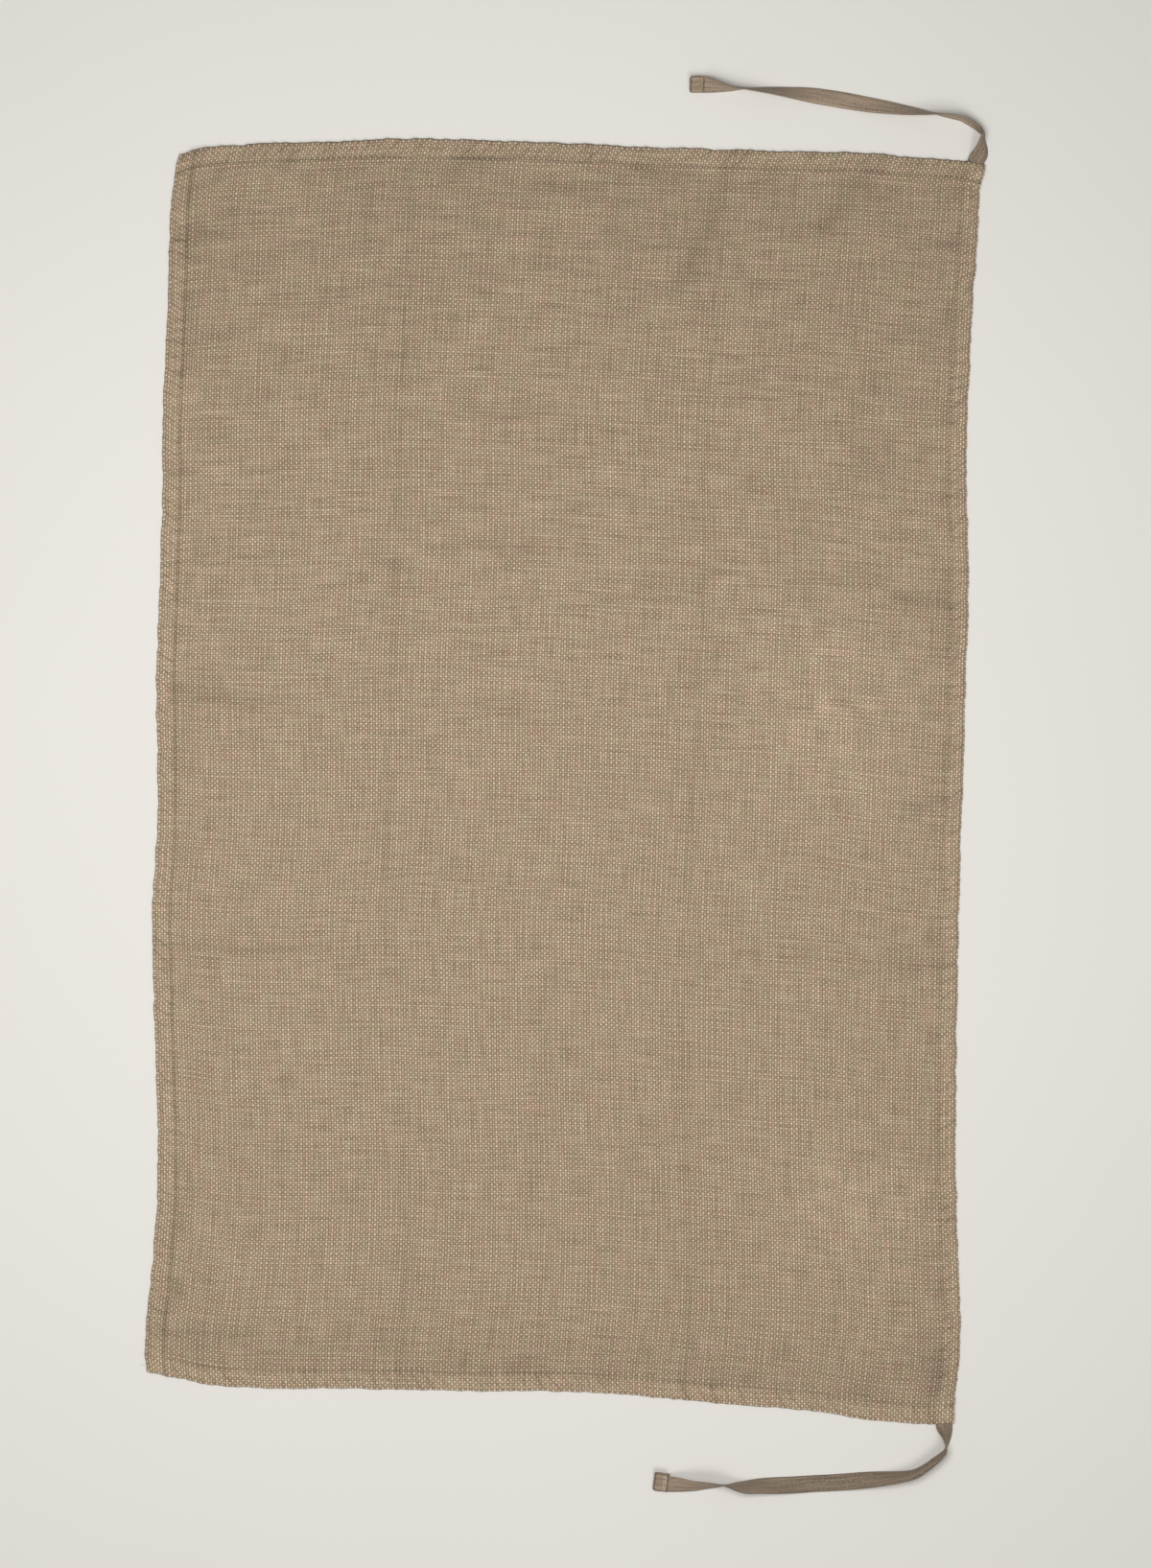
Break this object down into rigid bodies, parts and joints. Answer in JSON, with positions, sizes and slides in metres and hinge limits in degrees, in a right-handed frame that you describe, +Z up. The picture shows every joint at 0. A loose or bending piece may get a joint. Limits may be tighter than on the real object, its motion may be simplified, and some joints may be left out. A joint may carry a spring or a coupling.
{
  "type": "waist apron with tape ties",
  "caption": "Waist apron of thick woven linen with turned and stitched hems and two narrow twill-tape ties, laid flat with its front up.",
  "frame": {"origin": "centre of the laid cloth's box, on the surface that it lies on", "axes": "+Z up from the table, out of the front of the cloth; +X towards the waist edge; +Y along the waist edge towards the left side, as seen from the front with the waist edge at the top"},
  "size_m": [0.6055, 1.0187, 0.012],
  "materials": {
    "linen_cloth": "thick slubby plain weave, natural oatmeal brown, matt",
    "linen_hem": "the same cloth turned to the back, its weave seen from behind",
    "sewing_thread": "spun sewing thread, slightly lighter than the cloth",
    "twill_tape": "cotton herringbone twill tape, taupe, soft matt"
  },
  "bodies": {
    "apron": {"apron_panel": "linen_cloth", "waist_hem": "linen_hem", "lower_hem": "linen_hem", "left_hem": "linen_hem", "right_hem": "linen_hem", "waist_hem_stitching": "sewing_thread", "lower_hem_stitching": "sewing_thread", "left_hem_stitching": "sewing_thread", "right_hem_stitching": "sewing_thread", "left_tie_root": "twill_tape", "right_tie_root": "twill_tape", "left_tie_tack": "sewing_thread", "right_tie_tack": "sewing_thread"},
    "left_tie_length": {"left_tie": "twill_tape", "left_tie_turned_end": "twill_tape", "left_tie_end_stitching": "sewing_thread"},
    "right_tie_length": {"right_tie": "twill_tape", "right_tie_turned_end": "twill_tape", "right_tie_end_stitching": "sewing_thread"}
  },
  "joints": [
    {"name": "left_tie_swing", "type": "hinge", "parent": "apron", "child": "left_tie_length", "pos_m": [0.3, 0.4655, 0.006], "axis": [0, 0, 1], "range_deg": [-90, 8]},
    {"name": "right_tie_swing", "type": "hinge", "parent": "apron", "child": "right_tie_length", "pos_m": [0.2724, -0.48, 0.006], "axis": [0, 0, 1], "range_deg": [-10, 90]}
  ]
}
